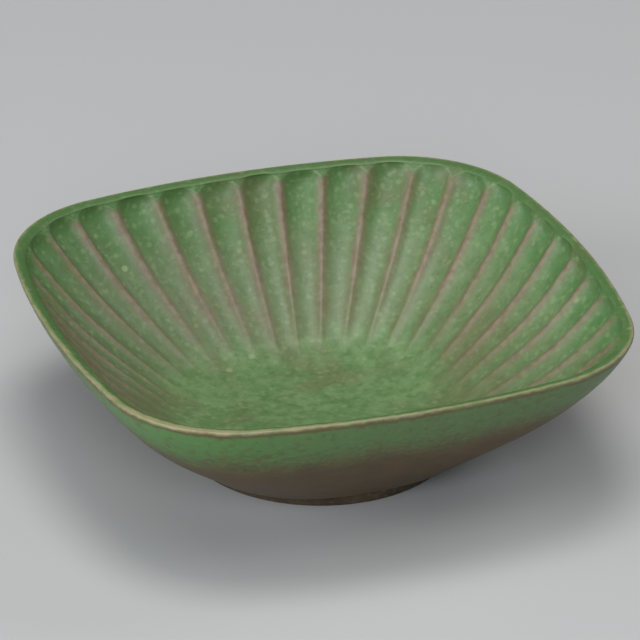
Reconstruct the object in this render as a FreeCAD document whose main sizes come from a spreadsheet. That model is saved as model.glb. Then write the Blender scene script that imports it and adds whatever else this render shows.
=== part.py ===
import FreeCAD, Part
import math
import os
import Sketcher

# Mukozuke: a small square serving dish of stoneware with softly rounded corners.
# Its inner wall is carved with forty scooped flutes, and it stands on a round foot
# ring that is luted to the underside.
# Millimetres, +Z up, origin on the table at the centre of the foot.

Vector = FreeCAD.Vector
Rotation = FreeCAD.Rotation

document = FreeCAD.newDocument("mukozuke_dish")

# Driving dimensions
SIZES = {
    # plan of the rim
    "rim_half_width": 80.9,
    "side_arc_radius": 261.0,
    "corner_radius": 38.5,
    "rim_height": 49.5,
    "lip_width": 3.0,
    "lip_outer_bevel": 0.8,
    "lip_inner_bevel": 0.8,
    # outer wall: how far each level lies in from the rim, and where it is in height
    "shoulder_inset": 7.4,
    "shoulder_drop": 13.0,
    "belly_inset": 21.3,
    "belly_rise": 18.0,
    "base_margin": 1.1,
    # how square each level is: 0 is a circle, 1 is the plan of the rim
    "base_squareness": 0.3,
    "belly_squareness": 0.85,
    "shoulder_squareness": 0.95,
    # hollow: a nearly flat floor, a turn, and a wall that steepens at its knee
    "floor_thickness": 4.5,
    "floor_half_width": 22.0,
    "floor_squareness": 0.3,
    "turn_half_width": 33.0,
    "turn_rise": 0.9,
    "turn_squareness": 0.5,
    "wall_foot_half_width": 40.5,
    "wall_foot_rise": 3.6,
    "wall_foot_squareness": 0.65,
    "knee_half_width": 60.5,
    "knee_rise": 20.3,
    "knee_squareness": 0.88,
    "band_height": 10.0,
    "band_step": 0.3,
    # flutes: how deep each scoop is at the foot of the wall, at its knee and at its round head
    "flute_foot_depth": 0.3,
    "flute_knee_depth": 1.5,
    "flute_depth": 2.2,
    "flute_head_length": 6.0,
    "flute_head_gap": 1.3,
    "flute_spread": 1.2,
    # foot ring
    "foot_height": 3.5,
    "foot_radius": 38.2,
    "foot_flare": 0.7,
    "foot_width": 5.0,
    "foot_bevel": 0.8,
}

sheet = document.addObject("Spreadsheet::Sheet", "Sizes")
for row, (alias, value) in enumerate(SIZES.items(), start=1):
    sheet.set("A%d" % row, alias.replace("_", " "))
    sheet.set("B%d" % row, str(value))
    sheet.setAlias("B%d" % row, alias)
document.recompute()

# Four equal sides, and on each half of a side five flutes
SIDES = 4
FLUTES_PER_HALF_SIDE = 5
FLUTES_PER_SIDE = 2 * FLUTES_PER_HALF_SIDE
SIDE_ANGLE = 360.0 / SIDES

# The cut of a flute's head ends past the top of its arch, inside the hollow: 1 is the arch
HEAD_REACH = 1.25

# How far the tool of a cut stands out of the clay
OVERSHOOT = 3.0

FLOOR = "@foot_height + @floor_thickness"
WALL_FOOT = FLOOR + " + @wall_foot_rise"
KNEE = FLOOR + " + @knee_rise"
RIM_INSIDE = "(@rim_half_width - @lip_width)"


def size(text):
    """An expression on the driving dimensions: each @name is a cell of the sheet."""
    return text.replace("@", "Sizes.")


def bind(item, path, text):
    item.setExpression(path, size(text))


def value_of(item, text):
    return float(item.evalExpression(size(text)))


def origin_feature(body, role):
    return next(item for item in body.Origin.OriginFeatures if item.Role == role)


def side_radius_of(half_width, squareness):
    return "(%s) * (1 + (@side_arc_radius / @rim_half_width - 1) * %s)" % (half_width, squareness)


def corner_radius_of(half_width, squareness):
    return "(%s) * (1 - (1 - @corner_radius / @rim_half_width) * %s)" % (half_width, squareness)


def corner_centre(half_width, side, corner):
    """Distance of a corner arc's centre from both axes, where it meets the side arcs tangentially."""
    setback = side - half_width
    span = side - corner
    return (math.sqrt(2 * span * span - setback * setback) - setback) / 2


def side_end(half_width, side, corner):
    """Point where the side arc across +X runs into the corner arc."""
    setback = side - half_width
    centre = corner_centre(half_width, side, corner)
    scale = side / (side - corner)
    return (centre + setback) * scale - setback, centre * scale


def rounded_square(body, name, height, half_width, squareness):
    """Level section of the dish: four wide side arcs joined by four tangent corner arcs."""
    sketch = body.newObject("Sketcher::SketchObject", name)
    sketch.AttachmentSupport = (origin_feature(body, "XY_Plane"), [""])
    sketch.MapMode = "FlatFace"
    bind(sketch, "AttachmentOffset.Base.z", height)

    half = value_of(sketch, half_width)
    side_text = side_radius_of(half_width, squareness)
    corner_text = corner_radius_of(half_width, squareness)
    side = value_of(sketch, side_text)
    corner = value_of(sketch, corner_text)
    setback = side - half
    centre = corner_centre(half, side, corner)
    end_x, end_y = side_end(half, side, corner)
    side_angle = math.atan2(end_y, end_x + setback)

    for quarter in range(SIDES):
        turn = quarter * math.pi / 2
        rotate = Rotation(Vector(0, 0, 1), math.degrees(turn))
        side_circle = Part.Circle(rotate.multVec(Vector(-setback, 0, 0)), Vector(0, 0, 1), side)
        sketch.addGeometry(Part.ArcOfCircle(side_circle, turn - side_angle, turn + side_angle))
        corner_circle = Part.Circle(rotate.multVec(Vector(centre, centre, 0)), Vector(0, 0, 1), corner)
        corner_end = turn + math.pi / 2 - side_angle
        sketch.addGeometry(Part.ArcOfCircle(corner_circle, turn + side_angle, corner_end))

    arcs = 2 * SIDES
    for arc in range(arcs):
        sketch.addConstraint(Sketcher.Constraint("Tangent", arc, 2, (arc + 1) % arcs, 1))
    for arc in range(2, arcs, 2):
        sketch.addConstraint(Sketcher.Constraint("Equal", 0, arc))
        sketch.addConstraint(Sketcher.Constraint("Equal", 1, arc + 1))
    for arc in (0, 4):
        sketch.addConstraint(Sketcher.Constraint("PointOnObject", arc, 3, -1))
    for arc in (2, 6):
        sketch.addConstraint(Sketcher.Constraint("PointOnObject", arc, 3, -2))
    setback_text = "%s - (%s)" % (side_text, half_width)
    driven = (
        (Sketcher.Constraint("Radius", 0, side), side_text),
        (Sketcher.Constraint("Radius", 1, corner), corner_text),
        (Sketcher.Constraint("DistanceX", 0, 3, -1, 1, setback), setback_text),
        (Sketcher.Constraint("DistanceY", 2, 3, -1, 1, setback), setback_text),
        (Sketcher.Constraint("DistanceX", -1, 1, 4, 3, setback), setback_text),
        (Sketcher.Constraint("DistanceY", -1, 1, 6, 3, setback), setback_text),
    )
    for constraint, text in driven:
        index = sketch.addConstraint(constraint)
        bind(sketch, "Constraints[%d]" % index, text)
    return sketch


def reach(half_width, squareness, azimuth):
    """Polar radius of a level section at an azimuth in degrees."""
    half = value_of(sheet, half_width)
    side = value_of(sheet, side_radius_of(half_width, squareness))
    corner = value_of(sheet, corner_radius_of(half_width, squareness))
    setback = side - half
    end_x, end_y = side_end(half, side, corner)
    from_side = abs((azimuth + SIDE_ANGLE / 2) % SIDE_ANGLE - SIDE_ANGLE / 2)
    angle = math.radians(from_side)
    if angle <= math.atan2(end_y, end_x):
        across = setback * math.sin(angle)
        return math.sqrt(side * side - across * across) - setback * math.cos(angle)
    centre = corner_centre(half, side, corner) * math.sqrt(2)
    off = math.radians(SIDE_ANGLE / 2) - angle
    across = centre * math.sin(off)
    return centre * math.cos(off) + math.sqrt(corner * corner - across * across)


def loft(body, kind, name, sketches):
    item = body.newObject(kind, name)
    item.Profile = sketches[0]
    item.Sections = sketches[1:]
    item.Ruled = False
    item.Refine = False
    document.recompute()
    return item


def bevel(body, name, base, face, outer, width):
    """Bevels one rim of a level ring-shaped face: its outer edge or its inner one."""
    rims = [wire for wire in face.Wires if wire.isSame(face.OuterWire) == outer]
    edges = [edge for wire in rims for edge in wire.Edges]
    names = []
    for number, candidate in enumerate(base.Shape.Edges, start=1):
        if any(candidate.isSame(edge) for edge in edges):
            names.append("Edge%d" % number)
    item = body.newObject("PartDesign::Chamfer", name)
    item.Base = (base, names)
    bind(item, "Size", width)
    document.recompute()
    return item


def highest_face(item):
    return max(item.Shape.Faces, key=lambda face: face.CenterOfMass.z)


def lowest_face(item):
    return min(item.Shape.Faces, key=lambda face: face.CenterOfMass.z)


def flute_azimuth(position):
    """Azimuth of a place counted in flutes from the middle of the side across +X.

    The flutes are equally wide along the rim, so seen from the centre they are
    a little wider at the middle of a side than at a corner.
    """
    side, along = divmod(position, FLUTES_PER_SIDE)
    from_middle = min(along, FLUTES_PER_SIDE - along) / FLUTES_PER_HALF_SIDE
    spread = value_of(sheet, "@flute_spread")
    turned = from_middle * SIDE_ANGLE / 2 + spread * math.sin(math.pi * from_middle)
    if along > FLUTES_PER_HALF_SIDE:
        turned = SIDE_ANGLE - turned
    return side * SIDE_ANGLE + turned


def polar_point(radius, azimuth, height):
    angle = math.radians(azimuth)
    return Vector(radius * math.cos(angle), radius * math.sin(angle), height)


def fluted_section(height_text, half_width, squareness, depth_text, inset_text):
    """Level section of the carved hollow: forty arcs that meet at the ridges."""
    height = value_of(sheet, height_text)
    depth = value_of(sheet, depth_text)
    inset = value_of(sheet, inset_text)
    arcs = []
    for flute in range(SIDES * FLUTES_PER_SIDE):
        ridges = [flute_azimuth(flute), flute_azimuth(flute + 1)]
        middle = flute_azimuth(flute + 0.5)
        start, end = [polar_point(reach(half_width, squareness, a) - inset, a, height) for a in ridges]
        deepest = polar_point(reach(half_width, squareness, middle) - inset + depth, middle, height)
        arcs.append(Part.Arc(start, deepest, end).toShape())
    return Part.Wire(arcs)


def wall_line(height):
    """Half width of the inner wall at a height above its knee, as an expression."""
    spread = "(%s - @knee_half_width) / (@rim_height - (%s))" % (RIM_INSIDE, KNEE)
    return "@knee_half_width + (%s - (%s)) * %s" % (height, KNEE, spread)


def build_fluted_hollow():
    """The clay taken out by the gouge, from the foot of the wall up to the round heads of the flutes.

    At its head each flute leans back out of the wall, so that its edge on the plain
    band above is a round arch.
    """
    arch_top = "@rim_height - @flute_head_gap"
    head_foot = "(%s - @flute_head_length)" % arch_top
    head_end = "(%s + @flute_head_length * %s)" % (head_foot, HEAD_REACH)
    levels = (
        (WALL_FOOT, "@wall_foot_half_width", "@wall_foot_squareness", "@flute_foot_depth", "0"),
        (KNEE, "@knee_half_width", "@knee_squareness", "@flute_knee_depth", "0"),
        (head_foot, wall_line(head_foot), "@shoulder_squareness", "@flute_depth", "0"),
        (head_end, wall_line(head_end), "1", "@flute_depth", "@flute_depth * %s" % HEAD_REACH),
    )
    hollow = document.addObject("Part::Feature", "FlutedHollow")
    hollow.Shape = Part.makeLoft([fluted_section(*level) for level in levels], True, True)
    return hollow


def build_dish_body():
    """Bowl of the dish in one piece: outer form, plain band under the lip, carved hollow."""
    body = document.addObject("PartDesign::Body", "BowlBlank")
    base_half = "@foot_radius + @foot_flare + @base_margin"
    belly_half = "@rim_half_width - @belly_inset"
    shoulder_half = "@rim_half_width - @shoulder_inset"
    outer_levels = [
        ("OuterBase", "@foot_height", base_half, "@base_squareness"),
        ("OuterBelly", "@foot_height + @belly_rise", belly_half, "@belly_squareness"),
        ("OuterShoulder", "@rim_height - @shoulder_drop", shoulder_half, "@shoulder_squareness"),
        ("OuterRim", "@rim_height", "@rim_half_width", "1"),
    ]
    outer_sketches = [rounded_square(body, *level) for level in outer_levels]
    loft(body, "PartDesign::AdditiveLoft", "OuterForm", outer_sketches)

    floor_levels = [
        ("FloorEdge", FLOOR, "@floor_half_width", "@floor_squareness"),
        ("FloorTurn", FLOOR + " + @turn_rise", "@turn_half_width", "@turn_squareness"),
        ("WallFoot", WALL_FOOT, "@wall_foot_half_width", "@wall_foot_squareness"),
    ]
    floor_sketches = [rounded_square(body, *level) for level in floor_levels]
    loft(body, "PartDesign::SubtractiveLoft", "FloorHollow", floor_sketches)

    band_foot = "@rim_height - @band_height"
    above_rim = "@rim_height + %s" % OVERSHOOT
    band_levels = [
        ("BandFoot", band_foot, wall_line(band_foot) + " - @band_step", "@shoulder_squareness"),
        ("AboveBand", above_rim, wall_line(above_rim), "1"),
    ]
    band_sketches = [rounded_square(body, *level) for level in band_levels]
    band = loft(body, "PartDesign::SubtractiveLoft", "PlainBand", band_sketches)

    outside = bevel(body, "LipOutside", band, highest_face(band), True, "@lip_outer_bevel")
    inside = bevel(body, "LipInside", outside, highest_face(outside), False, "@lip_inner_bevel")
    body.Tip = inside
    document.recompute()

    dish = document.addObject("Part::Cut", "dish_body")
    dish.Label = "dish_body"
    dish.Base = body
    dish.Tool = build_fluted_hollow()
    document.recompute()
    return dish


def build_foot_ring():
    """Foot ring, turned from one section and seated flat against the underside of the body."""
    body = document.addObject("PartDesign::Body", "foot_ring")
    body.Label = "foot_ring"
    sketch = body.newObject("Sketcher::SketchObject", "FootSection")
    sketch.AttachmentSupport = (origin_feature(body, "XZ_Plane"), [""])
    sketch.MapMode = "FlatFace"

    outer = value_of(sketch, "@foot_radius")
    top_outer = value_of(sketch, "@foot_radius + @foot_flare")
    inner = value_of(sketch, "@foot_radius - @foot_width")
    height = value_of(sketch, "@foot_height")
    corners = [
        Vector(inner, 0, 0),
        Vector(outer, 0, 0),
        Vector(top_outer, height, 0),
        Vector(inner, height, 0),
    ]
    for number, corner in enumerate(corners):
        sketch.addGeometry(Part.LineSegment(corner, corners[(number + 1) % len(corners)]))
    for number in range(len(corners)):
        sketch.addConstraint(Sketcher.Constraint("Coincident", number, 2, (number + 1) % len(corners), 1))
    sketch.addConstraint(Sketcher.Constraint("PointOnObject", 0, 1, -1))
    sketch.addConstraint(Sketcher.Constraint("Horizontal", 0))
    sketch.addConstraint(Sketcher.Constraint("Horizontal", 2))
    sketch.addConstraint(Sketcher.Constraint("Vertical", 3))
    driven = (
        (Sketcher.Constraint("DistanceX", -1, 1, 0, 1, inner), "@foot_radius - @foot_width"),
        (Sketcher.Constraint("DistanceX", -1, 1, 0, 2, outer), "@foot_radius"),
        (Sketcher.Constraint("DistanceX", -1, 1, 1, 2, top_outer), "@foot_radius + @foot_flare"),
        (Sketcher.Constraint("DistanceY", -1, 1, 1, 2, height), "@foot_height"),
    )
    for constraint, text in driven:
        index = sketch.addConstraint(constraint)
        bind(sketch, "Constraints[%d]" % index, text)
    document.recompute()

    ring = body.newObject("PartDesign::Revolution", "Ring")
    ring.Profile = sketch
    ring.ReferenceAxis = (origin_feature(body, "Z_Axis"), [""])
    ring.Angle = 360
    document.recompute()

    outside = bevel(body, "FootOutside", ring, lowest_face(ring), True, "@foot_bevel")
    inside = bevel(body, "FootInside", outside, lowest_face(outside), False, "@foot_bevel")
    body.Tip = inside
    document.recompute()
    return body


parts = [build_dish_body(), build_foot_ring()]

document.recompute()
for item in document.Objects:
    if "Invalid" in item.State or "Error" in item.State:
        raise RuntimeError("failed feature: %s %s" % (item.Name, item.State))
for part in parts:
    if part.Shape.isNull() or not part.Shape.isValid() or len(part.Shape.Solids) != 1:
        raise RuntimeError("bad solid: %s" % part.Label)

os.makedirs("parts", exist_ok=True)
for part in parts:
    part.Shape.exportStep("parts/%s.step" % part.Label)
    print(part.Label, round(part.Shape.Volume, 1), len(part.Shape.Faces))
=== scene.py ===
import math
import random

import bpy
import numpy as np
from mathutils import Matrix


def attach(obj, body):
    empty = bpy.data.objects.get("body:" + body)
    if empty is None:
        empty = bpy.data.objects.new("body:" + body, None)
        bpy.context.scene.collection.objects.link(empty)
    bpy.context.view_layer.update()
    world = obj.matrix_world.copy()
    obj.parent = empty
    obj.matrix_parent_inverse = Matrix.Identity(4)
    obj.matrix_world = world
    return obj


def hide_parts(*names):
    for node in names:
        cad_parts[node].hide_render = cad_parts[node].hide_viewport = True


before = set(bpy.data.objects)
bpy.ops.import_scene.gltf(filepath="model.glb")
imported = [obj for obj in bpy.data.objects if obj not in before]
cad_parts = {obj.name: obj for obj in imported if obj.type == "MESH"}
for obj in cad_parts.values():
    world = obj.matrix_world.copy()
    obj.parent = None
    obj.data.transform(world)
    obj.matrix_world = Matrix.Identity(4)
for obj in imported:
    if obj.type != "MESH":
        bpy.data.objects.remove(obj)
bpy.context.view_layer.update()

MM = 0.001

# Form of the dish

# Plan of the rim
RIM_HALF = 80.9
SIDE_ARC = 261.0
CORNER_ARC = 38.5
RIM_HEIGHT = 49.5

# Levels of the outer wall: height, half width, squareness
OUTER_LEVELS = ((3.5, 40.0, 0.3), (21.5, 59.6, 0.85), (36.5, 73.5, 0.95), (49.5, 80.9, 1.0))

# Soft turn from the underside into the outer wall
BASE_ROUNDING = 1.3
BASE_ROUNDING_RISE = 2.2

# Lip: a tight curve up to its crest outside, and a wider one down to the wall inside
LIP_SHOULDER_OUT = 48.5
LIP_SHOULDER_IN = 48.5
LIP_CREST_INSET = 0.7

# Inner wall: height and half width at its foot, its knee and the rim
WALL_LEVELS = ((11.6, 40.5), (28.3, 60.5), (49.5, 77.9))
WALL_FOOT_HEIGHT, WALL_FOOT_HALF = WALL_LEVELS[0]

# Floor and its turn into the wall: half width and height
FLOOR_LEVELS = ((0.0, 7.8), (22.0, 8.0), (33.0, 8.9), (40.5, 11.6), (46.0, 16.0))
FLOOR_MIDDLE = 1.0

# How square the levels of the hollow are, over their height
INNER_SQUARENESS = (
    (7.8, 0.2), (8.0, 0.3), (8.9, 0.5), (11.6, 0.65), (28.3, 0.88), (41.0, 0.95), (49.5, 1.0),
)

# Flutes
FLUTES = 40
FLUTES_A_SIDE = FLUTES // 4
FLUTE_DEPTH = 2.85
FLUTE_ARCH_TOP = 49.1
FLUTE_HEAD = 5.6
FLUTE_FLATNESS = 2.5
FLUTE_SPREAD = 1.2
HEAD_FOOT = FLUTE_ARCH_TOP - FLUTE_HEAD
ARCH_ROUNDING = 0.35
RIDGE_ROUNDING = 0.22
SCOOP_SOFTNESS = 0.03

# Heights between which the cut dies out at the lip
CUT_END_LOW = FLUTE_ARCH_TOP - 0.4
CUT_END_HIGH = RIM_HEIGHT - 0.1

# How much of their depth the flutes keep, over their height
FLUTE_FADE = (
    (7.8, 0.0), (9.0, 0.03), (11.6, 0.28), (16.0, 0.5), (28.3, 0.85), (41.0, 1.0), (49.5, 1.0),
)

# Foot ring, and its section as radius and height
FOOT_HEIGHT = 3.5
FOOT_RADIUS = 38.2
FOOT_TOP_RADIUS = 38.9
FOOT_INNER = 33.2
FOOT_SECTION = (
    (FOOT_INNER, FOOT_HEIGHT),
    (FOOT_INNER, 1.0),
    (FOOT_INNER + 0.3, 0.35),
    (FOOT_INNER + 1.0, 0.0),
    (FOOT_RADIUS - 1.0, 0.0),
    (FOOT_RADIUS - 0.3, 0.3),
    (FOOT_RADIUS, 0.95),
    (FOOT_RADIUS + 0.25, 2.2),
    (FOOT_TOP_RADIUS, 3.1),
    (FOOT_TOP_RADIUS, FOOT_HEIGHT),
)

# Fineness of the meshes
COLUMNS_PER_FLUTE = 16
UNDERSIDE_RINGS = 12
UNDERSIDE_SPAN = (0.04, 0.96)
OUTSIDE_RINGS = 46
LIP_OUTSIDE_RINGS = 9
LIP_INSIDE_RINGS = 12
HEAD_RINGS = 38
WALL_RINGS = 60
FLOOR_RINGS = 56
FOOT_SEGMENTS = 240

# Handwork: how far the bowl stays inside its true line, by azimuth
HAND_INSET = (
    (0, 0.2), (45, 0.05), (90, 0.05), (135, 0.0), (150, 0.05), (180, 0.7),
    (210, 0.85), (240, 0.6), (270, 0.5), (315, 0.3), (360, 0.2),
)

# How worn the lip is, by azimuth
LIP_WEAR = (
    (0, 0.2), (45, 0.15), (90, 0.1), (135, 0.15), (180, 0.35), (205, 0.6), (225, 1.0),
    (240, 0.85), (262, 0.5), (300, 0.35), (330, 0.25), (360, 0.2),
)

# How much painted shade darkens the inner wall, by azimuth: most on the left wall, which gets less
# light
WALL_SHADE = (
    (0, 0.15), (45, 0.2), (90, 0.5), (135, 0.8), (170, 1.0),
    (215, 1.0), (250, 0.5), (300, 0.2), (330, 0.0), (360, 0.1),
)

# How the ridges stray from even spacing, in degrees, and how scoops differ in depth and top
RIDGE_DRIFT = -1.0
RIDGE_SWAY = 0.3
RIDGE_SWAY_AZIMUTH = 60
RIDGE_SPREAD = (-0.35, 0.35)
DEPTH_SPREAD = (0.88, 1.1)
TOP_SPREAD = (-0.35, 0.25)

# The rim dips a little on one side
RIM_DIP = 0.12
RIM_DIP_AZIMUTH = 250
RIM_DIP_FOOT = 20

HAND = random.Random(11)


def section_radius(half, squareness, azimuth):
    """Polar radius of a level whose four wide side arcs meet four corner arcs tangentially."""
    side = half * (1 + (SIDE_ARC / RIM_HALF - 1) * squareness)
    corner = half * (1 - (1 - CORNER_ARC / RIM_HALF) * squareness)
    setback = side - half
    span = side - corner
    centre = (np.sqrt(2 * span * span - setback * setback) - setback) / 2
    scale = side / span
    end_x = (centre + setback) * scale - setback
    end_y = centre * scale
    angle = np.abs((azimuth + math.pi / 4) % (math.pi / 2) - math.pi / 4)
    along_side = np.sqrt(side * side - (setback * np.sin(angle)) ** 2) - setback * np.cos(angle)
    off = math.pi / 4 - angle
    diagonal = centre * math.sqrt(2)
    inside = np.maximum(corner * corner - (diagonal * np.sin(off)) ** 2, 0)
    round_corner = diagonal * np.cos(off) + np.sqrt(inside)
    return np.where(angle <= np.arctan2(end_y, end_x), along_side, round_corner)


def through(points, where):
    """Smooth curve through a few (position, value) points, read at the given positions."""
    place, value = (np.array(numbers) for numbers in zip(*points))
    slope = np.gradient(value, place)
    at = np.clip(where, place[0], place[-1])
    left = np.clip(np.searchsorted(place, at, side="right") - 1, 0, len(place) - 2)
    right = left + 1
    step = place[right] - place[left]
    way = (at - place[left]) / step
    from_left = (2 * way**3 - 3 * way**2 + 1) * value[left]
    left_slope = (way**3 - 2 * way**2 + way) * step * slope[left]
    from_right = (3 * way**2 - 2 * way**3) * value[right]
    right_slope = (way**3 - way**2) * step * slope[right]
    return from_left + left_slope + from_right + right_slope


def ease(low, high, value):
    """0 at low and 1 at high, eased in between. High may be the lower of the two."""
    way = np.clip((value - low) / (high - low), 0, 1)
    return way * way * (3 - 2 * way)


def outer_half(height):
    """Half width of the outer wall at a height."""
    levels = np.array(OUTER_LEVELS)
    return np.polyval(np.polyfit(levels[:, 0], levels[:, 1], 3), height)


def outer_squareness(height):
    return through([(level[0], level[2]) for level in OUTER_LEVELS], height)


def wall_half(height):
    """Half width of the inner wall at a height."""
    return through(WALL_LEVELS, height)


def dish_rows():
    """Rings of the bowl from the middle of its underside, over the lip, to the middle of the floor.

    Each row is height, half width and squareness.
    """
    rows = []
    base_half = outer_half(FOOT_HEIGHT)
    base_squareness = OUTER_LEVELS[0][2]
    for part in np.linspace(*UNDERSIDE_SPAN, UNDERSIDE_RINGS):
        rows.append((FOOT_HEIGHT, base_half * part, base_squareness * part))
    for height in np.linspace(FOOT_HEIGHT, LIP_SHOULDER_OUT, OUTSIDE_RINGS):
        rounding = BASE_ROUNDING * max(0.0, 1 - (height - FOOT_HEIGHT) / BASE_ROUNDING_RISE) ** 2
        rows.append((height, outer_half(height) - rounding, outer_squareness(height)))
    crest = RIM_HALF - LIP_CREST_INSET
    rise = RIM_HEIGHT - LIP_SHOULDER_OUT
    for turn in np.linspace(0, math.pi / 2, LIP_OUTSIDE_RINGS)[1:]:
        reach = (outer_half(LIP_SHOULDER_OUT) - crest) * math.cos(turn)
        rows.append((LIP_SHOULDER_OUT + rise * math.sin(turn), crest + reach, 1.0))
    rise = RIM_HEIGHT - LIP_SHOULDER_IN
    for turn in np.linspace(0, math.pi / 2, LIP_INSIDE_RINGS)[1:-1]:
        reach = (crest - wall_half(LIP_SHOULDER_IN)) * math.sin(turn)
        rows.append((LIP_SHOULDER_IN + rise * math.cos(turn), crest - reach, 1.0))
    heights = list(np.linspace(LIP_SHOULDER_IN, HEAD_FOOT, HEAD_RINGS))
    heights += list(np.linspace(HEAD_FOOT, WALL_FOOT_HEIGHT, WALL_RINGS)[1:])
    for height in heights:
        rows.append((height, wall_half(height), through(INNER_SQUARENESS, height)))
    for half in np.linspace(WALL_FOOT_HALF, FLOOR_MIDDLE, FLOOR_RINGS)[1:]:
        height = float(through(FLOOR_LEVELS, half))
        rows.append((height, half, through(INNER_SQUARENESS, height)))
    return np.array([[float(value) for value in row] for row in rows])


def carved_azimuths():
    """Azimuth of each ridge in turn. They were carved by eye, so they drift and vary a little."""
    ridges = []
    for number in range(FLUTES):
        side, along = divmod(number, FLUTES_A_SIDE)
        from_middle = min(along, FLUTES_A_SIDE - along) / (FLUTES_A_SIDE / 2)
        turned = from_middle * 45 + FLUTE_SPREAD * math.sin(math.pi * from_middle)
        if along > FLUTES_A_SIDE / 2:
            turned = 90 - turned
        azimuth = side * 90 + turned
        drift = RIDGE_DRIFT + RIDGE_SWAY * math.cos(math.radians(azimuth - RIDGE_SWAY_AZIMUTH))
        ridges.append(azimuth + drift + HAND.uniform(*RIDGE_SPREAD))
    return ridges


def flute_columns():
    """Azimuth, place across the flute from -1 to 1, depth and arch top of each column of vertices."""
    ridges = carved_azimuths()
    depths = [FLUTE_DEPTH * HAND.uniform(*DEPTH_SPREAD) for _ in range(FLUTES)]
    tops = [FLUTE_ARCH_TOP + HAND.uniform(*TOP_SPREAD) for _ in range(FLUTES)]
    columns = []
    for flute in range(FLUTES):
        start = ridges[flute]
        end = ridges[(flute + 1) % FLUTES] + (360 if flute == FLUTES - 1 else 0)
        for column in range(COLUMNS_PER_FLUTE):
            part = column / COLUMNS_PER_FLUTE
            azimuth = math.radians(start + (end - start) * part)
            columns.append((azimuth, 2 * part - 1, depths[flute], tops[flute]))
    return [np.array(values)[None, :] for values in zip(*columns)]


def build_bowl():
    """The bowl as one closed mesh of rings, with the carving and the masks that the glaze follows."""
    azimuth, place, depth, top = flute_columns()
    rows = dish_rows()
    height, half, squareness = (values[:, None] for values in rows.T)
    radius = section_radius(half, squareness, azimuth)
    crest_row = np.argmax(rows[:, 0])
    carvable = (np.arange(len(rows)) > crest_row)[:, None] * 1.0

    # Scoops: an arc across each flute, an arch at its head, fading out on the floor
    pitch = 2 * math.pi * radius / FLUTES
    off_ridge = (1 - np.abs(place)) * pitch / 2
    soft_ridge = np.sqrt(off_ridge**2 + RIDGE_ROUNDING**2) - RIDGE_ROUNDING
    across = 1 - np.clip(soft_ridge / (pitch / 2), 0, 1)
    fade = through(FLUTE_FADE, height)
    head = np.clip((height - (top - FLUTE_HEAD)) / FLUTE_HEAD, 0, None)
    into_head = head / (1 - ARCH_ROUNDING * across**4)
    scoop = depth * fade * (1 - across**FLUTE_FLATNESS) * (1 - into_head**2)
    cut = np.where(carvable > 0, (scoop + np.sqrt(scoop**2 + SCOOP_SOFTNESS)) / 2, 0)
    radius = radius + cut * ease(CUT_END_HIGH, CUT_END_LOW, height)

    # Slight unevenness of hand work, always inward of the true form
    turned = np.degrees(azimuth) % 360
    radius = radius - through(HAND_INSET, turned) * ease(FOOT_HEIGHT + 1, RIM_HEIGHT, height)
    dip = RIM_DIP * (0.5 + 0.5 * np.cos(azimuth - math.radians(RIM_DIP_AZIMUTH)))
    x = radius * np.cos(azimuth)
    y = radius * np.sin(azimuth)
    z = height - dip * ease(RIM_DIP_FOOT, RIM_HEIGHT, height)
    points = np.stack([x, y, z], axis=-1).reshape(-1, 3) * MM
    count_rows, count_columns = radius.shape

    # Rings joined by quads, closed by a fan at each end
    faces = []
    for row in range(count_rows - 1):
        low, high = row * count_columns, (row + 1) * count_columns
        for column in range(count_columns):
            after = (column + 1) % count_columns
            faces.append((low + column, low + after, high + after, high + column))
    below = len(points)
    above = below + 1
    centres = [(0, 0, height[0, 0] * MM), (0, 0, height[-1, 0] * MM)]
    last = (count_rows - 1) * count_columns
    for column in range(count_columns):
        after = (column + 1) % count_columns
        faces.append((below, after, column))
        faces.append((above, last + column, last + after))
    mesh = bpy.data.meshes.new("glazed_bowl")
    mesh.from_pydata(np.concatenate([points, np.array(centres)]).tolist(), [], faces)
    mesh.shade_smooth()

    # Distance over the lip from its crest, positive towards the inside
    run = np.concatenate([[0], np.cumsum(np.hypot(np.diff(rows[:, 0]), np.diff(rows[:, 1])))])
    from_crest = (run - run[crest_row])[:, None]

    # Masks in millimetres or as shares, one value a vertex
    masks = {
        "off_ridge": off_ridge,
        "into_head": np.where(carvable > 0, into_head, 0.0),
        "inside": carvable,
        "from_crest": from_crest,
        "wear": through(LIP_WEAR, turned),
        # painted shade of the inner wall by azimuth, most on the left
        "wall_shade": through(WALL_SHADE, turned),
        "height": z,
    }
    for name, values in masks.items():
        layer = mesh.attributes.new(name, "FLOAT", "POINT")
        flat = np.broadcast_to(values, radius.shape).reshape(-1)
        layer.data.foreach_set("value", np.concatenate([flat, flat[[0, -1]]]).astype(np.float32))
    bowl = bpy.data.objects.new("glazed_bowl", mesh)
    bpy.context.scene.collection.objects.link(bowl)
    return bowl


def build_foot():
    """Foot ring turned from its section, with soft edges and a small joint to the bowl."""
    vertices, faces = [], []
    for segment in range(FOOT_SEGMENTS):
        turn = 2 * math.pi * segment / FOOT_SEGMENTS
        for radius, height in FOOT_SECTION:
            vertices.append((radius * MM * math.cos(turn), radius * MM * math.sin(turn), height * MM))
    size = len(FOOT_SECTION)
    for segment in range(FOOT_SEGMENTS):
        here, there = segment * size, (segment + 1) % FOOT_SEGMENTS * size
        for corner in range(size):
            after = (corner + 1) % size
            faces.append((here + corner, here + after, there + after, there + corner))
    mesh = bpy.data.meshes.new("foot")
    mesh.from_pydata(vertices, [], faces)
    mesh.shade_smooth()
    foot = bpy.data.objects.new("clay_foot", mesh)
    bpy.context.scene.collection.objects.link(foot)
    return foot


# Materials

def tone(red, green, blue):
    """A colour given in the display's 0 to 255, as linear values."""
    linear = []
    for channel in (red / 255, green / 255, blue / 255):
        linear.append(channel / 12.92 if channel <= 0.04045 else ((channel + 0.055) / 1.055) ** 2.4)
    return linear + [1.0]


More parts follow.
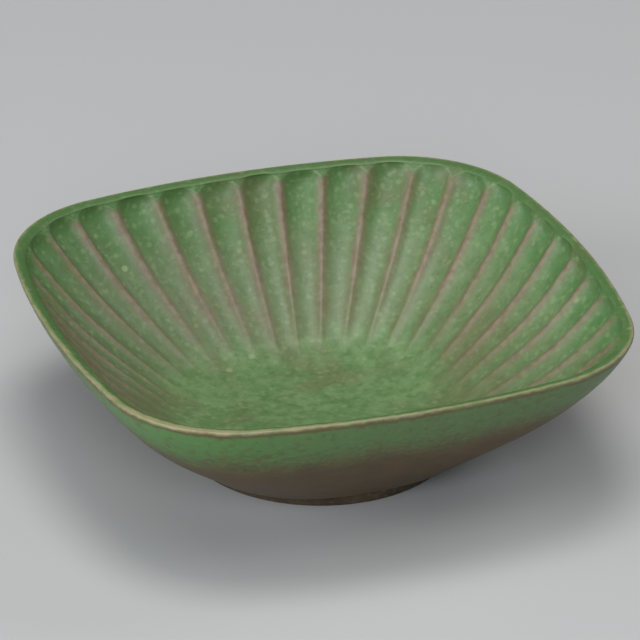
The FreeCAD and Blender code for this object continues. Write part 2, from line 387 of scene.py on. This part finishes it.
class Recipe:
    """A node material written as a chain of small steps."""

    def __init__(self, name):
        self.material = bpy.data.materials.new(name)
        self.material.use_nodes = True
        self.tree = self.material.node_tree
        self.shader = self.tree.nodes["Principled BSDF"]
        self.where = self.tree.nodes.new("ShaderNodeTexCoord").outputs["Object"]

    def feed(self, socket, value):
        """Link a socket to another one, or set it to a plain value."""
        if isinstance(value, bpy.types.NodeSocket):
            self.tree.links.new(value, socket)
        else:
            socket.default_value = value

    def set(self, name, value):
        self.feed(self.shader.inputs[name], value)

    def calculate(self, operation, *values):
        node = self.tree.nodes.new("ShaderNodeMath")
        node.operation = operation
        for socket, value in zip(node.inputs, values):
            self.feed(socket, value)
        return node.outputs[0]

    def times(self, product, *factors):
        for factor in factors:
            product = self.calculate("MULTIPLY", product, factor)
        return product

    def line(self, value, slope, start):
        return self.calculate("MULTIPLY_ADD", value, slope, start)

    def uneven(self, value, noise, spread):
        """A value that a noise from 0 to 1 shifts by up to half the spread either way."""
        return self.line(noise, spread, self.calculate("SUBTRACT", value, spread / 2))

    def step(self, value, low, high):
        """0 below low, 1 above high, eased in between. High may be the lower of the two."""
        node = self.tree.nodes.new("ShaderNodeMapRange")
        node.interpolation_type = "SMOOTHSTEP"
        self.feed(node.inputs["Value"], value)
        if low < high:
            ends = (low, high, 0.0, 1.0)
        else:
            ends = (high, low, 1.0, 0.0)
        for key, end in zip(("From Min", "From Max", "To Min", "To Max"), ends):
            node.inputs[key].default_value = end
        return node.outputs["Result"]

    def blend(self, amount, first, second):
        """Mix of two colours: the first at amount 0, the second at 1."""
        node = self.tree.nodes.new("ShaderNodeMix")
        node.data_type = "RGBA"
        self.feed(node.inputs["Factor"], amount)
        self.feed(node.inputs[6], first)
        self.feed(node.inputs[7], second)
        return node.outputs[2]

    def noise(self, size_mm, detail, roughness, distortion=0.0):
        node = self.tree.nodes.new("ShaderNodeTexNoise")
        self.tree.links.new(self.where, node.inputs["Vector"])
        node.inputs["Scale"].default_value = 1 / (size_mm * MM)
        node.inputs["Detail"].default_value = detail
        node.inputs["Roughness"].default_value = roughness
        node.inputs["Distortion"].default_value = distortion
        return node.outputs["Fac"]

    def specks(self, spacing_mm, size_mm, share):
        """Scattered round spots, soft at the edge, in a share of the cells of a random grid."""
        node = self.tree.nodes.new("ShaderNodeTexVoronoi")
        self.tree.links.new(self.where, node.inputs["Vector"])
        node.inputs["Scale"].default_value = 1 / (spacing_mm * MM)
        near = self.step(node.outputs["Distance"], size_mm / spacing_mm, 0.4 * size_mm / spacing_mm)
        parts = self.tree.nodes.new("ShaderNodeSeparateColor")
        self.tree.links.new(node.outputs["Color"], parts.inputs[0])
        return self.times(near, self.calculate("LESS_THAN", parts.outputs[0], share))

    def mask(self, name):
        """One of the values that build_bowl stores at the vertices."""
        node = self.tree.nodes.new("ShaderNodeAttribute")
        node.attribute_name = name
        return node.outputs["Fac"]

    def bump(self, height, depth_mm, under=None):
        node = self.tree.nodes.new("ShaderNodeBump")
        node.inputs["Strength"].default_value = 1.0
        node.inputs["Distance"].default_value = depth_mm * MM
        self.feed(node.inputs["Height"], height)
        if under is not None:
            self.tree.links.new(under, node.inputs["Normal"])
        return node.outputs["Normal"]


def glaze_material():
    """Green glaze that breaks to bare taupe on the ridges and fades to brown low outside."""
    look = Recipe("green_glaze")
    cloud = look.noise(26, 3, 0.55, 0.4)
    mottle = look.noise(5, 3, 0.6, 0.3)
    grain = look.noise(2.4, 2, 0.5)
    grit = look.noise(1.5, 1, 0.5)
    height = look.mask("height")
    inside = look.mask("inside")
    into_head = look.mask("into_head")
    from_crest = look.mask("from_crest")
    wear = look.mask("wear")
    uneven_height = look.uneven(height, cloud, 16.0)

    # Glaze: softly mottled, greyer on the wall, darkened with painted shade on the inner wall where it
    # gets less light, most on the left, and darker below the lip
    green = look.blend(look.step(mottle, 0.36, 0.64), tone(94, 129, 78), tone(112, 142, 94))
    wall = look.times(look.step(height, 11.0, 18.0), look.step(height, 42.0, 28.0), inside, 0.5)
    green = look.blend(wall, green, tone(104, 116, 86))
    # Painted shade: the inner wall darkened where it gets less light, most on the left
    wall_shade_share = look.times(look.mask("wall_shade"), inside, look.step(height, 9.0, 17.0), 0.42)
    green = look.blend(wall_shade_share, green, tone(66, 92, 44))
    under_lip = look.times(look.step(uneven_height, 28.0, 44.0), 0.72)
    green = look.blend(under_lip, green, tone(76, 116, 64))

    # Olive clouds, dark grain, pale grit, and specks of two sizes
    green = look.blend(look.times(look.step(cloud, 0.50, 0.66), 0.5), green, tone(106, 104, 72))
    green = look.blend(look.times(look.step(grain, 0.52, 0.30), 0.35), green, tone(72, 100, 56))
    green = look.blend(look.times(look.step(grit, 0.50, 0.80), 0.35), green, tone(136, 156, 112))
    green = look.blend(look.times(look.specks(2.7, 1.1, 0.5), 0.38), green, tone(134, 156, 108))
    green = look.blend(look.times(look.specks(10.0, 1.4, 0.4), 0.6), green, tone(152, 170, 122))

    # A painted highlight: a paler line along the round head of each flute, where the head catches the
    # light, and a deeper lip above
    arch_highlight = look.times(look.step(into_head, 0.84, 0.96), look.step(into_head, 1.06, 0.98), inside, 0.3)
    green = look.blend(arch_highlight, green, tone(128, 158, 104))
    lip_top = look.times(look.step(height, 47.9, 48.9), look.step(from_crest, 0.5, 1.3), 0.5)
    green = look.blend(lip_top, green, tone(72, 104, 54))

    # Ridges: the glaze thins towards the sharp edge, and leaves it bare higher up
    off_ridge = look.uneven(look.mask("off_ridge"), grain, 1.6)
    below_head = look.times(look.step(into_head, 1.1, 0.5), inside)
    thin = look.times(look.step(off_ridge, 3.6, 0.6), below_head, look.step(height, 9.5, 15.0), 0.45)
    colour = look.blend(thin, green, tone(112, 106, 74))
    patchy = look.line(look.step(look.noise(9, 2, 0.5), 0.30, 0.55), 0.35, 0.5)
    high = look.step(uneven_height, 14.0, 26.0)
    bare = look.times(look.step(off_ridge, 1.9, 0.3), high, below_head, patchy)
    taupe = look.blend(look.step(grain, 0.3, 0.7), tone(118, 100, 82), tone(138, 122, 104))
    colour = look.blend(bare, colour, taupe)

    # Outside: green below the lip, freckled, with an uneven edge to brown clay slip lower down
    outside = look.calculate("SUBTRACT", 1.0, inside)
    sprayed = look.blend(wear, tone(90, 104, 66), tone(84, 136, 66))
    colour = look.blend(look.times(outside, 0.7), colour, sprayed)
    freckles = look.times(look.step(grain, 0.48, 0.72), outside, 0.45)
    colour = look.blend(freckles, colour, tone(82, 74, 42))
    level = look.uneven(look.uneven(height, cloud, 14.0), grit, 12.0)
    brown = look.blend(look.step(mottle, 0.35, 0.65), tone(78, 62, 30), tone(98, 76, 40))
    colour = look.blend(look.times(look.step(level, 41.0, 27.0), outside), colour, brown)

    # Lip: worn to tan on its crest, with a darker brown line below it outside
    crest = look.uneven(from_crest, grain, 1.4)
    worn_edge = look.line(wear, -1.7, crest)
    patches = look.line(look.step(mottle, 0.35, 0.6), 0.35, 0.4)
    worn = look.times(look.step(crest, -2.6, -1.4), look.step(worn_edge, 0.5, -0.5))
    worn = look.times(worn, look.line(wear, 0.3, patches))
    tan = look.blend(look.step(crest, -1.2, 0.1), tone(94, 82, 50), tone(154, 150, 112))
    colour = look.blend(worn, colour, tan)

    look.set("Base Color", colour)
    look.set("Roughness", look.line(mottle, 0.2, 0.36))
    look.set("Specular IOR Level", 0.55)
    look.set("Normal", look.bump(mottle, 0.12, under=look.bump(grit, 0.05)))
    return look.material


def clay_material():
    """Bare dark stoneware of the foot, gritty and matt."""
    look = Recipe("foot_clay")
    cloud = look.noise(12, 3, 0.6, 0.3)
    grain = look.noise(1.4, 3, 0.65)
    colour = look.blend(look.step(cloud, 0.35, 0.65), tone(64, 52, 38), tone(86, 70, 50))
    colour = look.blend(look.times(look.step(grain, 0.56, 0.70), 0.6), colour, tone(136, 118, 98))
    colour = look.blend(look.times(look.step(grain, 0.42, 0.30), 0.6), colour, tone(52, 42, 36))
    look.set("Base Color", colour)
    look.set("Roughness", look.line(grain, 0.2, 0.68))
    look.set("Normal", look.bump(grain, 0.18))
    return look.material


def floor_material():
    look = Recipe("studio_floor")
    look.set("Base Color", tone(188, 189, 190))
    look.set("Roughness", 0.9)
    look.set("Specular IOR Level", 0.1)
    return look.material


# Object

glaze = glaze_material()
clay = clay_material()

bowl = build_bowl()
bowl.data.materials.append(glaze)
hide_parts("dish_body")
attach(bowl, "root")

foot = build_foot()
foot.data.materials.append(clay)
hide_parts("foot_ring")
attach(foot, "root")

for name, material in (("dish_body", glaze), ("foot_ring", clay)):
    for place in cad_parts[name].material_slots:
        place.material = material

# Floor, light and camera

FLOOR_SIZE = 12.0
LAMP_DISTANCE = 2.2
LAMP_SIZE = 1.0
NEUTRAL = (1.0, 1.0, 1.0)
WARM = (1.0, 0.97, 0.945)
COOL = (0.935, 0.975, 1.0)
WORLD_STRENGTH = 0.02
CAMERA_PLACE = (-0.4747, -1.3562, 0.7687)
CAMERA_TURN = math.radians(-19.29)
CAMERA_TILT = math.radians(26.91)
CAMERA_LENS = 320.2
CAMERA_SENSOR = 36

bpy.ops.mesh.primitive_plane_add(size=FLOOR_SIZE)
floor = bpy.context.object
floor.name = "studio_floor"
floor.data.materials.append(floor_material())


def soft_lamp(name, turn, rise, power, colour):
    """A round soft lamp aimed at the dish. Turn is from the picture's right, over its back."""
    azimuth = math.radians(turn) + CAMERA_TURN
    up = math.radians(rise)
    level = LAMP_DISTANCE * math.cos(up)
    data = bpy.data.lights.new(name, "AREA")
    data.shape = "DISK"
    data.size = LAMP_SIZE
    data.energy = power
    data.color = colour
    lamp = bpy.data.objects.new(name, data)
    lamp.location = (level * math.cos(azimuth), level * math.sin(azimuth), LAMP_DISTANCE * math.sin(up))
    lamp.rotation_euler = (math.pi / 2 - up, 0, azimuth + math.pi / 2)
    bpy.context.scene.collection.objects.link(lamp)


soft_lamp("overhead", 0, 89.9, 18, WARM)
soft_lamp("front", 270, 30, 19, COOL)
soft_lamp("front_left", 213, 21, 20, COOL)
soft_lamp("left", 180, 22, 5.5, COOL)
soft_lamp("front_top", 270, 65, 4, NEUTRAL)
soft_lamp("left_top", 180, 65, 3.5, NEUTRAL)
soft_lamp("right_top", 315, 65, 4.5, WARM)
soft_lamp("back_right", 30, 42, 6, NEUTRAL)

world = bpy.data.worlds.new("studio")
bpy.context.scene.world = world
world.use_nodes = True
background = world.node_tree.nodes["Background"]
background.inputs["Color"].default_value = (1, 1, 1, 1)
background.inputs["Strength"].default_value = WORLD_STRENGTH

camera_data = bpy.data.cameras.new("camera")
camera_data.sensor_width = CAMERA_SENSOR
camera_data.lens = CAMERA_LENS
camera = bpy.data.objects.new("camera", camera_data)
camera.location = CAMERA_PLACE
camera.rotation_euler = (math.pi / 2 - CAMERA_TILT, 0, CAMERA_TURN)
bpy.context.scene.collection.objects.link(camera)
bpy.context.scene.camera = camera

bpy.context.scene.view_settings.view_transform = "Standard"
